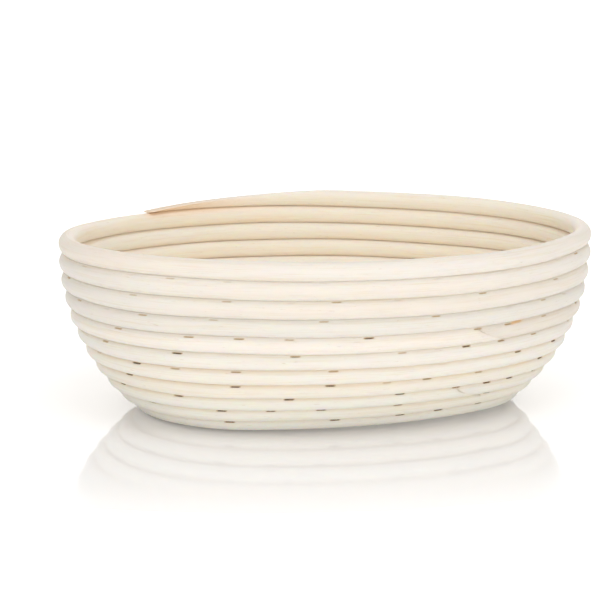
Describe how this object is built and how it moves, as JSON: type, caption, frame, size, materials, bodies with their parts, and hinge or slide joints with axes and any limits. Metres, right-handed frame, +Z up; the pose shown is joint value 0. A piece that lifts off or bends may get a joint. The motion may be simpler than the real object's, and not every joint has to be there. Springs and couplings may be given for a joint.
{
  "type": "oval banneton proofing basket",
  "caption": "Oval bread proofing basket coiled from spliced round rattan cane, stapled turn to turn, with sloping walls, a flat base and a tapered cane end on the rim.",
  "frame": {"origin": "on the floor under the middle of the basket", "axes": "+X along the long axis, +Y along the short axis, +Z up; the loose end of the cane lies on the rim on the +Y side, towards -X"},
  "size_m": [0.2129, 0.1634, 0.0724],
  "materials": {
    "rattan": "natural, unvarnished",
    "staple_wire": "dull wire"
  },
  "bodies": {
    "root": {"rim_cane": "rattan", "upper_wall_cane": "rattan", "lower_wall_cane": "rattan", "foot_cane": "rattan", "base_cane": "rattan", "staples_turn_01": "staple_wire", "staples_turn_02": "staple_wire", "staples_turn_03": "staple_wire", "staples_turn_04": "staple_wire", "staples_turn_05": "staple_wire", "staples_turn_06": "staple_wire", "staples_turn_07": "staple_wire", "staples_turn_08": "staple_wire", "staples_turn_09": "staple_wire", "staples_turn_10": "staple_wire", "staples_turn_11": "staple_wire", "staples_turn_12": "staple_wire", "staples_turn_13": "staple_wire", "staples_turn_14": "staple_wire", "staples_turn_15": "staple_wire"}
  },
  "joints": []
}
